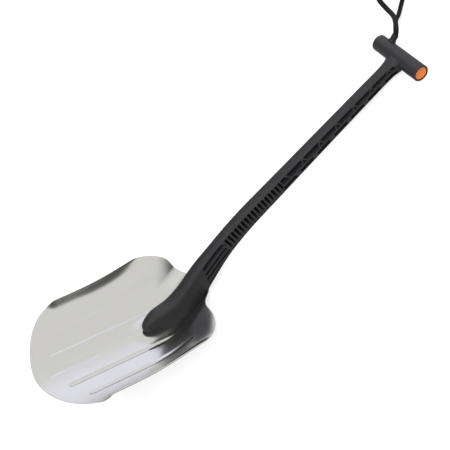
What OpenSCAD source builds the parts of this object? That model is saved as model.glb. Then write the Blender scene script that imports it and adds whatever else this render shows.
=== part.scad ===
// Avalanche shovel: a stamped aluminium scoop riveted to a moulded swan-neck handle
// with a T grip, a soft grip sleeve, two end caps and a webbing hand loop.
// It is drawn with the scoop's floor level, in millimetres, and then laid on the ground,
// where it rests on the scoop's heel and on the grip.

/* [Scoop] */
// Width of the scoop, rim to rim
scoop_w = 240; // [200:1:280]
// Length of the scoop from its front edge to its rear rim, away from the saddle
scoop_len = 301; // [285:1:330]
// Thickness of the aluminium sheet
sheet_t = 1.6; // [1.2:0.1:2.4]
// Radius of the dish across the floor
dish_r = 263; // [200:1:500]
// How far the rounded front edge runs back to the side walls
front_len = 80; // [60:1:100]
// Height of the rear rim above the floor
rear_h = 60; // [40:1:75]
// Height of the side walls above the floor beside them
side_h = 10.5; // [6:0.5:20]
// Width of the side walls seen from above
side_w = 14; // [9:0.5:20]
// Radius of the rear corners seen from above
corner_r = 48; // [30:1:60]
// How far the saddle under the handle runs out past the rear rim
saddle_len = 33; // [24:1:40]

/* [Grooves in the scoop] */
// Depth of the stamped grooves
groove_d = 2.4; // [1:0.1:4]
// Width of the stamped grooves
groove_w = 13; // [8:0.5:18]
// Distance between neighbouring grooves
groove_pitch = 40.8; // [34:0.1:45]

/* [Handle] */
// Distance from the nose of the handle to the front edge of the scoop
nose_x = 203; // [190:1:215]
// Height of the handle's centre line above the scoop's floor at the nose
nose_z = 23.5; // [20:0.5:28]
// Radius of the first bend, out of the scoop
heel_r = 102; // [85:1:125]
// Steepest angle of the neck
neck_angle = 51; // [44:0.5:58]
// Radius of the long bend that follows
neck_r = 548; // [350:1:700]
// Angle of the straight shaft above the scoop's floor
shaft_angle = 33.4; // [28:0.1:38]
// Length of the straight shaft up to the grip's axis
shaft_len = 350; // [340:1:420]
// Half width of the straight shaft below the grip
shaft_half_w = 12.8; // [11:0.1:15]
// Half thickness of the straight shaft below the grip
shaft_half_h = 12.6; // [11:0.1:13.6]
// Thickness of the web between the pockets of the two sides
web_t = 4; // [2.5:0.1:8]
// Thickness of the flanges above and below the pockets
flange_t = 2.8; // [1.5:0.1:4]
// Clearance between the handle and the scoop's sheet
seat_gap = 0.15; // [0.05:0.05:0.4]

/* [Pockets] */
// Distance between the cross pockets of the ladder
ladder_pitch = 8.27; // [7:0.01:10]
// Length of each ladder pocket along the shaft
ladder_slot = 4.3; // [2.5:0.1:5.5]
// Number of cross pockets in the ladder
ladder_count = 17; // [8:1:17]
// Distance between the struts' tips in the lattice
lattice_pitch = 41.1; // [36:0.1:44]
// Thickness of the lattice's struts
strut_t = 3.2; // [2:0.1:5]

/* [Grip] */
// Length of the T grip
grip_len = 115; // [100:1:130]
// Diameter of the T grip
grip_d = 29.3; // [28:0.1:34]
// Wall of the soft grip sleeve
sleeve_t = 3; // [2:0.1:4]
// Wall of the hollow crossbar inside the sleeve
core_t = 2.4; // [1.8:0.1:3.5]
// How far the end caps lie inside the grip's ends
cap_inset = 1.2; // [0.4:0.1:3]
// Clearance between fitted pieces of the grip
fit_gap = 0.1; // [0.05:0.05:0.2]

/* [Screws] */
// Diameter of the screws' shanks
screw_d = 4.8; // [3.2:0.1:6]
// Length of the screws under their heads
screw_len = 16; // [10:0.5:18]
// Diameter of the screws' heads
screw_head_d = 10; // [8:0.5:12]
// Height of the screws' heads
screw_head_h = 1.8; // [1.2:0.1:2.2]

/* [Hand loop] */
// Width of the webbing
strap_w = 9; // [6:0.5:12]
// Thickness of the webbing
strap_t = 1.8; // [1.2:0.1:2.5]
// How far the loop lies out past the grip
loop_reach = 131; // [100:1:160]
// Distance of the loop's ferrule from the middle of the grip
ferrule_y = 33; // [28:1:42]
// Outer diameter of the ferrule
ferrule_d = 14; // [13:0.5:16]
// Height of the ferrule above the grip
ferrule_h = 12.3; // [10:0.1:16]

/* [Hidden] */
$fn = 64;
eps = 0.01;
half_w = scoop_w / 2;

// ---- curves shared by several pieces ----

// Smooth step from 0 to 1, level at both ends
function ease(t) = (1 - cos(180 * min(max(t, 0), 1))) / 2;

// ---- scoop: one height for each place on the plan ----

front_power = 1.7; // bow of the front edge
flat_len = 250; // where the floor starts to rise in the middle, and at the sides
side_rise_x = 125;
wall_power = 1.9; // how late the rear wall and the saddle turn up
saddle_power = 1.9;
saddle_half_w = 58;
saddle_drop = 13; // saddle's rim below the rear rim
corner_drop = 6; // rim at the rear corners below the rear rim
side_ramp_x = 66; // where the side walls start, and over what length they rise
side_ramp_len = 32;
groove_ends = [[25, 114], [40, 250], [60, 260]]; // middle, inner and outer grooves
groove_end_len = 14;

// Share of the half width, 0 in the middle and 1 at the rim
function share(y) = min(abs(y) / half_w, 1);

// Front and rear edge of the sheet seen from above
function front_edge(y) =
    front_len * (1 - pow(1 - pow(share(y), front_power), 1 / front_power));
function corner_in(y) = max(abs(y) - (half_w - corner_r), 0);
function saddle(y) = ease(1 - abs(y) / saddle_half_w);
function rear_edge(y) =
    scoop_len - corner_r + sqrt(max(corner_r * corner_r - pow(corner_in(y), 2), 0))
    + saddle_len * saddle(y);

// Height of the dished floor, the side walls, the rear wall and the grooves
function dish(y) = y * y / (2 * dish_r);
function side_share(y) = (abs(y) - (half_w - side_w)) / side_w;
function side_wall(x, y) =
    side_h * ease(pow(max(side_share(y), 0), 1.5)) * ease((x - side_ramp_x) / side_ramp_len);
function rise_start(y) = flat_len - (flat_len - side_rise_x) * pow(share(y), 1.5);
function rise_share(x, y) =
    (x - rise_start(y)) / (rear_edge(y) - rise_start(y));
function rim_z(y) = rear_h - saddle_drop * saddle(y) - corner_drop * ease(corner_in(y) / corner_r);
// The wall rolls over at its rim, but under the handle it runs out straight
function rise(x, y) =
    let(t = max(rise_share(x, y), 0))
    ease(pow(t, wall_power)) * (1 - saddle(y)) + pow(t, saddle_power) * saddle(y);
function rear_wall(x, y) = (rim_z(y) - dish(y) - side_wall(x, y)) * rise(x, y);
function groove_across(y, i) =
    let(d = abs(abs(y) - i * groove_pitch) / (groove_w / 2)) d < 1 ? (1 + cos(180 * d)) / 2 : 0;
function groove_along(x, ends) =
    ease((x - ends[0]) / groove_end_len) * ease((ends[1] - x) / groove_end_len);
function groove(x, y, i = 0) =
    i == len(groove_ends) ? 0
    : groove_d * groove_across(y, i) * groove_along(x, groove_ends[i]) + groove(x, y, i + 1);
function sheet_z(x, y) = dish(y) + side_wall(x, y) + rear_wall(x, y) - groove(x, y);

// Upper face of the sheet, and its lower face one thickness along the normal
sheet_step = 0.5;
function sheet_slope_x(x, y) =
    (sheet_z(x + sheet_step, y) - sheet_z(x - sheet_step, y)) / (2 * sheet_step);
function sheet_slope_y(x, y) =
    (sheet_z(x, y + sheet_step) - sheet_z(x, y - sheet_step)) / (2 * sheet_step);
function unit(v) = v / norm(v);
function sheet_normal(x, y) = unit([-sheet_slope_x(x, y), -sheet_slope_y(x, y), 1]);
function sheet_point(x, y) = [x, y, sheet_z(x, y)];
function under_point(x, y) = sheet_point(x, y) - sheet_t * sheet_normal(x, y);

// Lines of the sheet's grid: close together at the grooves and the walls
groove_lines = [for (i = [0:2]) for (k = [-1, -0.5, 0, 0.5, 1])
    if (i > 0 || k > 0) i * groove_pitch + k * groove_w / 2];
plain_lines = [14, 24, 55, 65, 96, half_w - side_w];
wall_lines = [for (k = [0.2:0.2:0.8]) half_w - side_w * (1 - k)];
rim_lines = [half_w - 0.8, half_w];
half_lines = sorted(concat(groove_lines, plain_lines, wall_lines, rim_lines));
y_lines = concat([for (k = [len(half_lines) - 1:-1:0]) -half_lines[k]], [0], half_lines);
x_steps = 30;
front_crowd = 0.1;
rear_crowd = 0.16;
function x_share(k) =
    let(t = k / x_steps) t + (t < 0.5 ? -front_crowd : rear_crowd) * sin(360 * t) / PI;
function sorted(v) =
    len(v) <= 1 ? v
    : let(p = v[floor(len(v) / 2)])
      concat(sorted([for (a = v) if (a < p) a]), [p], sorted([for (a = v) if (a > p) a]));
function grid_x(k, y) = let(f = front_edge(y)) f + (rear_edge(y) - f) * x_share(k);

// Closed skin around two grids of points of the same size
module grid_solid(top, bottom) {
    rows = len(top);
    cols = len(top[0]);
    points = [for (r = [0:rows - 1]) each concat(top[r], bottom[r])];
    // Place of a point: row, then along the top and back along the bottom
    function at(r, k) =
        let(p = k % (2 * cols)) r * 2 * cols + (p < cols ? p : 3 * cols - 1 - p);
    last = rows - 1;
    polyhedron(points, concat(
        [for (r = [0:rows - 2]) for (k = [0:2 * cols - 1]) each [
            [at(r, k), at(r + 1, k + 1), at(r + 1, k)],
            [at(r, k), at(r, k + 1), at(r + 1, k + 1)]]],
        [for (c = [0:cols - 2]) each [
            [c, cols + c, cols + c + 1], [c, cols + c + 1, c + 1]]],
        [for (c = [0:cols - 2]) let(p = last * 2 * cols + c) each [
            [p, p + cols + 1, p + cols], [p, p + 1, p + cols + 1]]]),
        convexity = 6);
}

// ---- grip, screws and ferrule ----

edge_r = 1.5; // round at the sleeve's ends
cap_t = 2.6;
cap_rim = 1.6;
cap_dip = 0.7;
cap_edge = 0.5;
cap_floor = 1;
skirt_len = 8;
skirt_t = 1.4;
thread_gap = 0.1;
screw_first = 25; // from the nose to the first screw
screw_pitch = 24;
screw_bore_len = screw_len + 1;
drive_w = 1.2; // the cross in the screws' heads
drive_depth = 0.75 * screw_head_h;
stem_d = 7; // stem of the ferrule inside the crossbar
ferrule_tilt = 34.4; // lean of the ferrule from the scoop's upright
ferrule_foot = 2;
ferrule_ribs = 3;
ferrule_waist = 3; // how much thinner it is between the ribs
ferrule_lip = 0.6; // how far the last rib stands past the collar
ferrule_slope = 0.3;
stem_in = 1; // how far the stem reaches into the crossbar's bore
strap_in = 6; // depth of the webbing's slot
strap_gap = 0.3;

// ---- handle: a centre line with a cross section at each distance along it ----

nose_len = 33.6;
heel_end = nose_len + heel_r * neck_angle * PI / 180;
neck_end = heel_end + neck_r * (neck_angle - shaft_angle) * PI / 180;
spine_len = neck_end + shaft_len;
section_power = 2.6;
ring_sides = 28;

// ---- pockets of the handle, placed from the end of the neck ----

ladder_s0 = neck_end - 77.5; // middle of the first cross pocket
ladder_end = ladder_s0 + (ladder_count - 1) * ladder_pitch + ladder_slot / 2;
ladder_lean = 0.13; // how far the first cross pockets lean, for each unit of their height
rib_n = -4.9; // rib between the two rows of cross pockets
rib_t = 4;
cross_low = -10.2; // lowest level of the cross pockets
slot_gap = 4.6; // from the long slots to the first cross pocket
long_slot_h = [5.4, 5, 5.2, 3.6];
long_slot_n = [[17.2, 14.2], [8.8, 5.7], [0, -4], [-10, -13.2]]; // at both ends
long_slot_len = 53;
long_slot_step = 6.8; // each slot starts this much lower than the one above it
long_slot_slant = 1.2;
lattice_s0 = neck_end + 71.6; // tip of the first strut pair
lattice_count = 7;
lattice_in = 3; // from the last cross pocket to the lattice
lattice_end = lattice_s0 + (lattice_count - 1) * lattice_pitch + 12;
chord_n = 2.05; // chord under the triangles
chord_t = 4.7;
strut_foot = 6.7; // from the middle of a strut pair to the foot of each strut
strut_tip = 1.9; // half width of a pair at its tip
lower_slot = 30.5; // length and lowest level of the pockets under the chord
lower_n = -7;
slot_steps = 5; // parts of a long slot's side
cross_r = 1; // rounds at the pockets' corners
strut_r = 0.7;
window_r = 1.2;
lower_r = 2;
bore_wall = 2; // left between the crossbar's two bores and the shaft

// ---- the centre line and the sections of the handle ----

// Slope and place of the centre line at distance s from the nose, as [x, z]
function slope(s) =
    s < nose_len ? 0
    : s < heel_end ? (s - nose_len) / heel_r * 180 / PI
    : s < neck_end ? neck_angle - (s - heel_end) / neck_r * 180 / PI
    : shaft_angle;
function heel_xz(s) =
    [nose_x + nose_len + heel_r * sin(slope(s)), nose_z + heel_r * (1 - cos(slope(s)))];
function neck_xz(s) =
    heel_xz(heel_end) + neck_r * [sin(neck_angle) - sin(slope(s)), cos(slope(s)) - cos(neck_angle)];
function spine(s) =
    s < nose_len ? [nose_x + s, nose_z]
    : s < heel_end ? heel_xz(s)
    : s < neck_end ? neck_xz(s)
    : neck_xz(neck_end) + (s - neck_end) * [cos(shaft_angle), sin(shaft_angle)];
// Point n above the centre line
function off_spine(s, n) = spine(s) + n * [-sin(slope(s)), cos(slope(s))];

// Cross sections: distance along, half width, height above and depth below the centre line,
// and where the section is widest. Over the scoop it is widest low down, like a dome
flare_len = 16;
flare_w = 4;
grip_s = spine_len;
sections = [
    [0, 14, 5, 30, -14],
    [nose_len, 19, 13.8, 48, -16],
    [nose_len + 26, 20.6, 18, 50, -16],
    [nose_len + 56, 20, 24.1, 46, -12],
    [nose_len + 86, 19.4, 26.3, 24, -8],
    [nose_len + 116, 17.8, 25.4, 21, -4],
    [nose_len + 151, 16, 21.3, 18.5, 0],
    [nose_len + 186, 15.3, 19.5, 17, 0],
    [neck_end, 14.8, 17.3, 16.3, 0],
    [neck_end + 110, 14, 15.5, 14.5, 0],
    [grip_s - 90, shaft_half_w, shaft_half_h + 1, shaft_half_h, 0],
    [grip_s - grip_d / 2 - flare_len, shaft_half_w, shaft_half_h, shaft_half_h, 0],
    [grip_s - grip_d / 2, shaft_half_w + flare_w, shaft_half_h, shaft_half_h, 0],
    [grip_s, shaft_half_w + flare_w, shaft_half_h, shaft_half_h, 0]];

// Rows of the table joined by smooth curves that never overshoot by much
function row_slope(i) =
    i == 0 || i == len(sections) - 1 ? 0 * sections[i]
    : (sections[i + 1] - sections[i - 1]) / (sections[i + 1][0] - sections[i - 1][0]);
function row_before(s, i = 0) =
    i >= len(sections) - 2 || s < sections[i + 1][0] ? i : row_before(s, i + 1);
function section_at(s) =
    let(i = row_before(s), a = sections[i], b = sections[i + 1], d = b[0] - a[0],
        t = (s - a[0]) / d, u = 1 - t)
    a * (1 + 2 * t) * u * u + b * t * t * (3 - 2 * t)
    + row_slope(i) * d * t * u * u - row_slope(i + 1) * d * t * t * u;
// The nose closes in a round end
nose_round = 26;
function nose_share(s) = s >= nose_round ? 1 : sqrt(1 - pow(1 - (s + 0.4) / (nose_round + 0.4), 2));

// One ring of the handle around the centre line
function bow(v, power = section_power) = sign(v) * pow(abs(v), 2 / power);
// The lower half grows squarer behind the scoop
low_power = 3.6;
square_from = nose_len + 86;
square_len = 65;
function power_at(s, w) =
    section_power + (w > 0 ? 0 : (low_power - section_power) * ease((s - square_from) / square_len));
function ring(s) =
    let(q = section_at(s), f = nose_share(s))
    [for (k = [0:ring_sides - 1])
        let(c = cos(360 * k / ring_sides), w = sin(360 * k / ring_sides), e = power_at(s, w),
            p = off_spine(s, q[4] + bow(w, e) * f * (w > 0 ? q[2] - q[4] : q[3] + q[4])))
        [p[0], bow(c, e) * f * q[1], p[1]]];
nose_rings = [0, 1.2, 3.2, 6.2, 10, 15, 21];
bend_rings = [for (k = [0:19]) nose_round + (neck_end - nose_round) * k / 20];
shaft_rings = [neck_end, neck_end + 40, neck_end + 80, neck_end + 120, neck_end + 160,
    grip_s - 90, grip_s - 60];
flare_rings = [for (k = [0:5]) grip_s - grip_d / 2 - flare_len * (1 - k / 5)];
core_r = grip_d / 2 - sleeve_t;
ring_places = concat(nose_rings, bend_rings, shaft_rings, flare_rings,
    [grip_s - core_r + 4]);

// Closed skin through a list of rings
module ring_solid(rings) {
    n = len(rings[0]);
    m = len(rings);
    points = [for (r = rings) for (p = r) p];
    faces = concat(
        [[for (k = [0:n - 1]) k]],
        [[for (k = [n - 1:-1:0]) (m - 1) * n + k]],
        [for (i = [0:m - 2]) for (k = [0:n - 1]) let(j = (k + 1) % n) each [
            [i * n + k, (i + 1) * n + j, i * n + j],
            [i * n + k, (i + 1) * n + k, (i + 1) * n + j]]]);
    polyhedron(points, faces, convexity = 6);
}

// ---- laying the shovel on the ground ----

grip_xz = spine(grip_s);
// How far the heel and the grip reach below the origin when turned by an angle
heel_places = [for (k = [0:x_steps]) under_point(grid_x(k, 0), 0)];
function turned_z(x, z, a) = z * cos(a) - x * sin(a);
function heel_reach(a) = min([for (p = heel_places) turned_z(p[0], p[2], a)]);
function grip_reach(a) = turned_z(grip_xz[0], grip_xz[1], a) - grip_d / 2;
function lay_angle(low, high, n = 24) =
    let(mid = (low + high) / 2)
    n == 0 ? mid
    : heel_reach(mid) < grip_reach(mid) ? lay_angle(mid, high, n - 1) : lay_angle(low, mid, n - 1);
lay = lay_angle(10, 60);
function laid_x(x, z) = x * cos(lay) + z * sin(lay);
front_x = laid_x(0, -sheet_t);
// The ferrule leans out past the grip and is the last thing behind it
ferrule_lean = ferrule_tilt + lay;
ferrule_top = grip_d / 2 + ferrule_h;
ferrule_top_r = ferrule_d / 2 - 1;
ferrule_reach = ferrule_top * sin(ferrule_lean) + ferrule_top_r * cos(ferrule_lean);
back_x = laid_x(grip_xz[0], grip_xz[1]) + ferrule_reach;
middle_x = (front_x + back_x) / 2;
grip_x = back_x - ferrule_reach - middle_x;
module laid() {
    translate([-middle_x, 0, -grip_reach(lay)])
        rotate([0, lay, 0])
            children();
}

// ---- hand loop: flat webbing along chosen points, on the ground past the grip ----

// A place out from the ferrule's mouth and above its axis, and one on the ground past the
// grip, as shares of the loop's reach
function at_mouth(out, y, up) = [
    grip_x + (ferrule_top + out) * sin(ferrule_lean) - up * cos(ferrule_lean),
    ferrule_y + y,
    grip_d / 2 + (ferrule_top + out) * cos(ferrule_lean) + up * sin(ferrule_lean)];
function past_grip(x, y, rise = 0) =
    [grip_x + x * loop_reach, ferrule_y + y * loop_reach, strap_lie + rise * grip_d];
strap_lie = strap_t / 2 + 0.4;
strap_side = strap_t / 2 + strap_gap / 3;
strap_start = strap_in - 0.7;
strap_route = [
    at_mouth(-strap_start, 0, strap_side), at_mouth(0.6, 0, strap_side),
    at_mouth(strap_w, 0.9 * strap_w, -strap_t / 2),
    past_grip(0.34, 0.18, 0.64), past_grip(0.4, 0.36, 0.23), past_grip(0.43, 0.56, 0.03),
    past_grip(0.47, 0.77), past_grip(0.57, 0.99), past_grip(0.76, 1.12), past_grip(0.94, 1.06),
    past_grip(1, 0.86), past_grip(0.9, 0.65), past_grip(0.74, 0.52), past_grip(0.57, 0.4, 0.04),
    past_grip(0.44, 0.28, 0.26), past_grip(0.34, 0.18, 0.57),
    at_mouth(strap_w, 0.9 * strap_w, -1.6 * strap_t), at_mouth(0, 0, -strap_side),
    at_mouth(-strap_start, 0, -strap_side)];
strap_steps = 3;
function strap_at(i) = strap_route[min(max(i, 0), len(strap_route) - 1)];
function strap_point(i, t) =
    let(a = strap_at(i - 1), b = strap_at(i), c = strap_at(i + 1), d = strap_at(i + 2))
    b + 0.5 * t * (c - a + t * (2 * a - 5 * b + 4 * c - d + t * (3 * (b - c) + d - a)));
strap_line = concat(
    [for (i = [0:len(strap_route) - 2]) for (k = [0:strap_steps - 1]) strap_point(i, k / strap_steps)],
    [strap_at(len(strap_route) - 1)]);
// Eight corners of the webbing's section, across it and through it
strap_cut = 0.5;
strap_corners =
    let(a = strap_w / 2, b = strap_t / 2, c = strap_cut)
    [[a - c, -b], [c - a, -b], [-a, c - b], [-a, b - c], [c - a, b], [a - c, b], [a, b - c], [a, c - b]];
strap_rings = [for (i = [0:len(strap_line) - 1])
    let(along = unit(strap_line[min(i + 1, len(strap_line) - 1)] - strap_line[max(i - 1, 0)]),
        across = unit(cross(along, [0, 0, 1])), through = cross(across, along))
    [for (p = strap_corners) strap_line[i] + across * p[0] + through * p[1]]];

// ---- pieces, drawn around the level scoop ----

module scoop() {
    laid() color("silver")
        difference() {
            scoop_skin();
            for (place = screw_places)
                at_screw(place)
                    cylinder(h = 4 * sheet_t, d = screw_d + 2 * fit_gap, center = true);
        }
}
module scoop_skin() {
    grid_solid(
        [for (k = [0:x_steps]) [for (y = y_lines) sheet_point(grid_x(k, y), y)]],
        [for (k = [0:x_steps]) [for (y = y_lines) under_point(grid_x(k, y), y)]]);
}

// Everything below and behind the scoop's upper face, to cut the handle's seat
seat_rows = 12;
seat_cols = 6;
seat_half_w = 33;
seat_x0 = nose_x - 12;
seat_z0 = -rear_h;
seat_past = [30, 0, 24];
module seat_cutter() {
    ys = [for (k = [-seat_cols:seat_cols]) seat_half_w * k / seat_cols];
    function seat_x(k, y) = seat_x0 + (rear_edge(y) - seat_x0) * k / seat_rows;
    function seat_top(k, y) =
        let(x = seat_x(k, y)) sheet_point(x, y) + seat_gap * sheet_normal(x, y);
    function seat_row(k, y) =
        seat_top(min(k, seat_rows), y) + (k > seat_rows ? seat_past : [0, 0, 0]);
    grid_solid(
        [for (k = [0:seat_rows + 1]) [for (y = ys) seat_row(k, y)]],
        [for (k = [0:seat_rows + 1]) [for (y = ys) [seat_row(k, y)[0], y, seat_z0]]]);
}

// Pocket outlines in distance along the centre line and height above it,
// laid onto the bent handle and sunk from both sides down to the web
function on_side(outline) = [for (p = outline) off_spine(p[0], p[1])];
module side_pocket(outline) {
    deep = shaft_half_w + flare_w + 10;
    for (side = [0, 1])
        mirror([0, side, 0])
            rotate([90, 0, 0])
                translate([0, 0, web_t / 2])
                    linear_extrude(deep)
                        polygon(on_side(outline));
}
// Outline with its corners cut to short rounds
function corner_arc(p, a, b, r, n = 1) =
    let(u = unit(a - p), v = unit(b - p), half = acos(min(max(u * v, -1), 1)) / 2,
        reach = min(r / tan(half), norm(a - p) / 2, norm(b - p) / 2))
    [for (k = [0:n]) let(t = k / n, f = pow(1 - t, 2), g = 2 * t * (1 - t), h = t * t)
        f * (p + u * reach) + g * p + h * (p + v * reach)];
function softened(pts, r) =
    [for (i = [0:len(pts) - 1])
        each corner_arc(pts[i], pts[(i + len(pts) - 1) % len(pts)], pts[(i + 1) % len(pts)], r)];
function box_outline(s0, s1, n0, n1) = [[s0, n0], [s1, n0], [s1, n1], [s0, n1]];

// Under side of the top flange
function flange_n(s) = section_at(s)[2] - flange_t;
// Outline leaned over about the rib
function leaned(pts, lean) = [for (p = pts) [p[0] + lean * (p[1] - rib_n), p[1]]];

module long_slots() {
    s1 = ladder_s0 - ladder_slot / 2 - slot_gap;
    for (i = [0:len(long_slot_h) - 1]) {
        n = long_slot_n[i];
        s0 = s1 - long_slot_len - i * long_slot_step;
        side_pocket(concat(
            slot_edge(s0, s1, n, -long_slot_h[i] / 2, -long_slot_slant),
            reversed(slot_edge(s0, s1, n, long_slot_h[i] / 2, long_slot_slant))));
    }
}
// Points along one long side of a slot, its far end drawn in by the slant
function slot_edge(s0, s1, n, half, slant) =
    [for (k = [0:slot_steps]) let(t = k / slot_steps)
        [s0 + (s1 - s0) * t + (k == 0 ? slant : 0), n[0] + (n[1] - n[0]) * t + half]];
function reversed(v) = [for (k = [len(v) - 1:-1:0]) v[k]];
module ladder() {
    for (i = [0:ladder_count - 1]) {
        s = ladder_s0 + i * ladder_pitch;
        s0 = s - ladder_slot / 2;
        s1 = s + ladder_slot / 2;
        lean = ladder_lean * (1 - i / (ladder_count - 1));
        side_pocket(softened(leaned(box_outline(s0, s1, rib_n + rib_t / 2, flange_n(s)), lean),
            cross_r));
        side_pocket(leaned(box_outline(s0, s1, cross_low, rib_n - rib_t / 2), lean));
    }
}
module lattice() {
    for (i = [0:lattice_count - 1]) {
        s = lattice_s0 + i * lattice_pitch;
        top = flange_n(s);
        foot = chord_n + chord_t / 2;
        inner = strut_foot - strut_t / 2;
        outer = strut_foot + strut_t / 2;
        // The first pocket is wider and starts upright beside the ladder
        side_pocket(softened(concat([[s + inner, foot], [s, top - strut_tip]],
            i > 0 ? [[s - inner, foot]]
            : [[s - strut_tip, top], [ladder_end + lattice_in, top], [ladder_end + lattice_in, foot]]),
            strut_r));
        // The last window ends at the grip's flare
        side_pocket(softened(concat([[s + strut_tip, top], [s + outer, foot]],
            i < lattice_count - 1
            ? [[s + lattice_pitch - outer, foot],
                [s + lattice_pitch - strut_tip, flange_n(s + lattice_pitch)]]
            : [[lattice_end, foot], [lattice_end, flange_n(lattice_end)]]),
            window_r));
        side_pocket(softened(box_outline(s - lower_slot / 2, min(s + lower_slot / 2, lattice_end),
            lower_n, chord_n - chord_t / 2), lower_r));
    }
}

module handle_skin() {
    ring_solid([for (s = ring_places) ring(s)]);
}
module handle() {
    laid() color("#3a3a3d")
        difference() {
            union() {
                difference() {
                    handle_skin();
                    seat_cutter();
                    long_slots();
                    ladder();
                    lattice();
                }
                at_grip() cylinder(h = 2 * core_half, r = core_r - fit_gap, center = true);
            }
            for (side = [-1, 1])
                at_grip() translate([0, 0, side * (core_half - core_bore_len / 2)])
                    cylinder(h = core_bore_len + eps, r = core_bore_r, center = true);
            for (place = screw_places)
                at_screw(place)
                    cylinder(h = 2 * screw_bore_len, d = screw_d, center = true);
            at_ferrule() cylinder(h = grip_d / 2, d = stem_d + 2 * fit_gap);
        }
}

// Grip: its own axis is turned onto the crossbar
core_half = grip_len / 2 - cap_inset - cap_t;
core_bore_r = core_r - fit_gap - core_t;
core_bore_len = core_half - shaft_half_w - flare_w - bore_wall;
module at_grip() {
    translate([grip_xz[0], 0, grip_xz[1]])
        rotate([90, 0, 0])
            children();
}
module grip_sleeve() {
    laid() color("#333336")
        difference() {
            at_grip()
                rotate_extrude()
                    polygon(sleeve_outline());
            shaft_window();
            at_ferrule() cylinder(h = grip_d, d = stem_d + 2 * fit_gap);
        }
}
function sleeve_outline() =
    let(r = grip_d / 2, h = grip_len / 2, e = edge_r)
    concat([[core_r, -h], [core_r, h]],
        [for (a = [90:-22.5:0]) [r - e + e * cos(a), h - e + e * sin(a)]],
        [for (a = [0:-22.5:-90]) [r - e + e * cos(a), -h + e + e * sin(a)]]);
// Where the shaft enters the sleeve, with clearance all round
module shaft_window() {
    q = section_at(grip_s - grip_d / 2);
    p = spine(grip_s - grip_d);
    translate([p[0], 0, p[1]])
        rotate([0, 90 - shaft_angle, 0])
            linear_extrude(grip_d)
                polygon([for (k = [0:ring_sides - 1])
                    let(c = cos(360 * k / ring_sides), w = sin(360 * k / ring_sides),
                        e = power_at(grip_s, w))
                    [-bow(w, e) * ((w > 0 ? q[2] : q[3]) + fit_gap), bow(c, e) * (q[1] + fit_gap)]]);
}

// End caps: a disc with a raised rim and a skirt that plugs into the crossbar
module end_cap() {
    disc_r = core_r - fit_gap;
    skirt_r = core_bore_r - fit_gap;
    rotate_extrude()
        polygon([
            [0, 0], [disc_r, 0], [disc_r, cap_t - cap_edge], [disc_r - cap_edge, cap_t],
            [disc_r - cap_rim, cap_t], [disc_r - cap_rim - cap_dip, cap_t - cap_dip],
            [0, cap_t - cap_dip]]);
    translate([0, 0, -skirt_len])
        difference() {
            cylinder(h = skirt_len + eps, r = skirt_r);
            translate([0, 0, -eps])
                cylinder(h = skirt_len + eps - cap_floor, r = skirt_r - skirt_t);
        }
}
module end_cap_near() {
    laid() color("#f07830") at_grip() translate([0, 0, core_half]) end_cap();
}
module end_cap_far() {
    laid() color("#f07830") at_grip() rotate([180, 0, 0]) translate([0, 0, core_half]) end_cap();
}

// Screws: from under the sheet, up into the handle
screw_places = [for (k = [0:2]) nose_x + screw_first + k * screw_pitch];
module at_screw(x) {
    n = sheet_normal(x, 0);
    p = under_point(x, 0);
    translate(p)
        rotate([0, atan2(n[0], n[2]), 0])
            children();
}
module screws() {
    laid() color("#b9b9bb")
        for (place = screw_places)
            at_screw(place)
                screw();
}
module screw() {
    difference() {
        union() {
            cylinder(h = screw_len - screw_d / 2, d = screw_d - 2 * thread_gap);
            translate([0, 0, screw_len - screw_d / 2])
                cylinder(h = screw_d / 2, d1 = screw_d - 2 * thread_gap, d2 = 1);
            rotate_extrude()
                polygon(concat([[0, 0], [screw_head_d / 2, 0]],
                    [for (a = [0:15:75]) [screw_head_d / 2 - screw_head_h * (1 - cos(a)),
                        -screw_head_h * sin(a)]],
                    [[0, -screw_head_h]]));
        }
        for (a = [0, 90])
            rotate([0, 0, a])
                translate([-screw_head_d / 4, -drive_w / 2, -screw_head_h - eps])
                    cube([screw_head_d / 2, drive_w, drive_depth]);
    }
}

// Ferrule of the hand loop: a ribbed collar standing on the sleeve, with a stem that
// goes through the sleeve and the crossbar, and a slot for both ends of the webbing
module at_ferrule() {
    translate([grip_xz[0], ferrule_y, grip_xz[1]])
        rotate([0, ferrule_tilt, 0])
            children();
}
module loop_ferrule() {
    rib_h = (ferrule_h - ferrule_foot) / ferrule_ribs;
    laid() color("#222224")
        at_ferrule()
            difference() {
                union() {
                    translate([0, 0, core_bore_r - stem_in])
                        cylinder(h = ferrule_h, d = stem_d);
                    difference() {
                        union() {
                            cylinder(h = ferrule_top - ferrule_lip, d = ferrule_d - ferrule_waist);
                            cylinder(h = grip_d / 2 + ferrule_foot, d = ferrule_d);
                            for (k = [1:ferrule_ribs])
                                translate([0, 0, ferrule_top - (k - 0.5) * rib_h])
                                    cylinder(h = rib_h / 2, r1 = ferrule_top_r + ferrule_slope,
                                        r2 = ferrule_top_r);
                        }
                        rotate([90, 0, 0])
                            cylinder(h = 3 * ferrule_d, r = grip_d / 2 + fit_gap, center = true);
                    }
                }
                translate([0, 0, ferrule_top])
                    cube([2 * strap_t + 2 * strap_gap, strap_w + 2 * strap_gap, 2 * strap_in],
                        center = true);
            }
}

module hand_loop() {
    color("#18181a") ring_solid(strap_rings);
}

scoop();
handle();
grip_sleeve();
end_cap_near();
end_cap_far();
screws();
loop_ferrule();
hand_loop();
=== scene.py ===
import math

import bmesh
import bpy
from bpy.props import FloatProperty, IntProperty, PointerProperty, StringProperty
from mathutils import Matrix, Vector


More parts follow.
